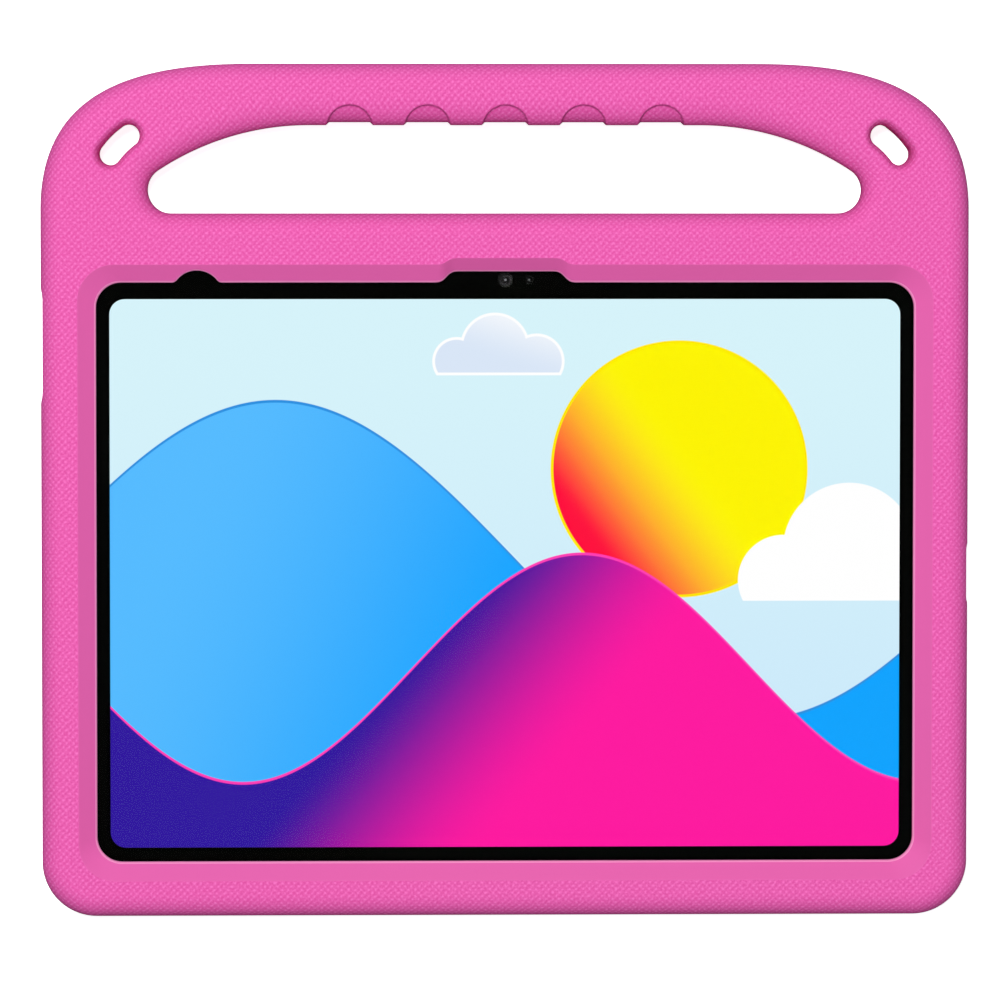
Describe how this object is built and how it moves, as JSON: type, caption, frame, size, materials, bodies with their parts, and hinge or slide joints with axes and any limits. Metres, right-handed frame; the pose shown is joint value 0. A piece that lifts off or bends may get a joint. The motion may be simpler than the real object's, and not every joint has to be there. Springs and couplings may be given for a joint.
{
  "type": "kids tablet case",
  "caption": "One-piece moulded foam tablet case with an arched carrying handle, finger grooves, strap slots and a bevelled screen window, shown holding a tablet.",
  "frame": {"origin": "middle of the case's outline, on the surface that its flat back rests on", "axes": "+Z out of the screen, +Y from the lower edge towards the carrying handle, +X to the right of someone facing the screen"},
  "size_m": [0.2664, 0.245, 0.0185],
  "materials": {
    "pink_foam": "matte moulded EVA foam with a fine raised grain",
    "anodised_aluminium": "bead-blasted and anodised, satin",
    "lit_screen": null,
    "black_print": "black print seen through the cover glass",
    "clear_glass": "clear polished cover glass",
    "lens": "dark coated lens",
    "socket_steel": "drawn stainless steel",
    "black_plastic": "moulded black plastic"
  },
  "bodies": {
    "case_with_tablet": {"case_body": "pink_foam", "tablet_housing": "anodised_aluminium", "tablet_display": "lit_screen", "tablet_border": "black_print", "tablet_glass": "clear_glass", "front_camera": "lens", "light_sensor": "lens", "charging_socket_shell": "socket_steel", "charging_socket_tongue": "black_plastic", "rear_camera_ring": "anodised_aluminium", "rear_camera_lens": "lens"},
    "power_key": {"power_key": "anodised_aluminium"}
  },
  "joints": [
    {"name": "power_key_press", "type": "slide", "parent": "case_with_tablet", "child": "power_key", "axis": [1, 0, 0], "range_m": [0, 0.0003], "stiffness_N_per_m": 2500}
  ]
}
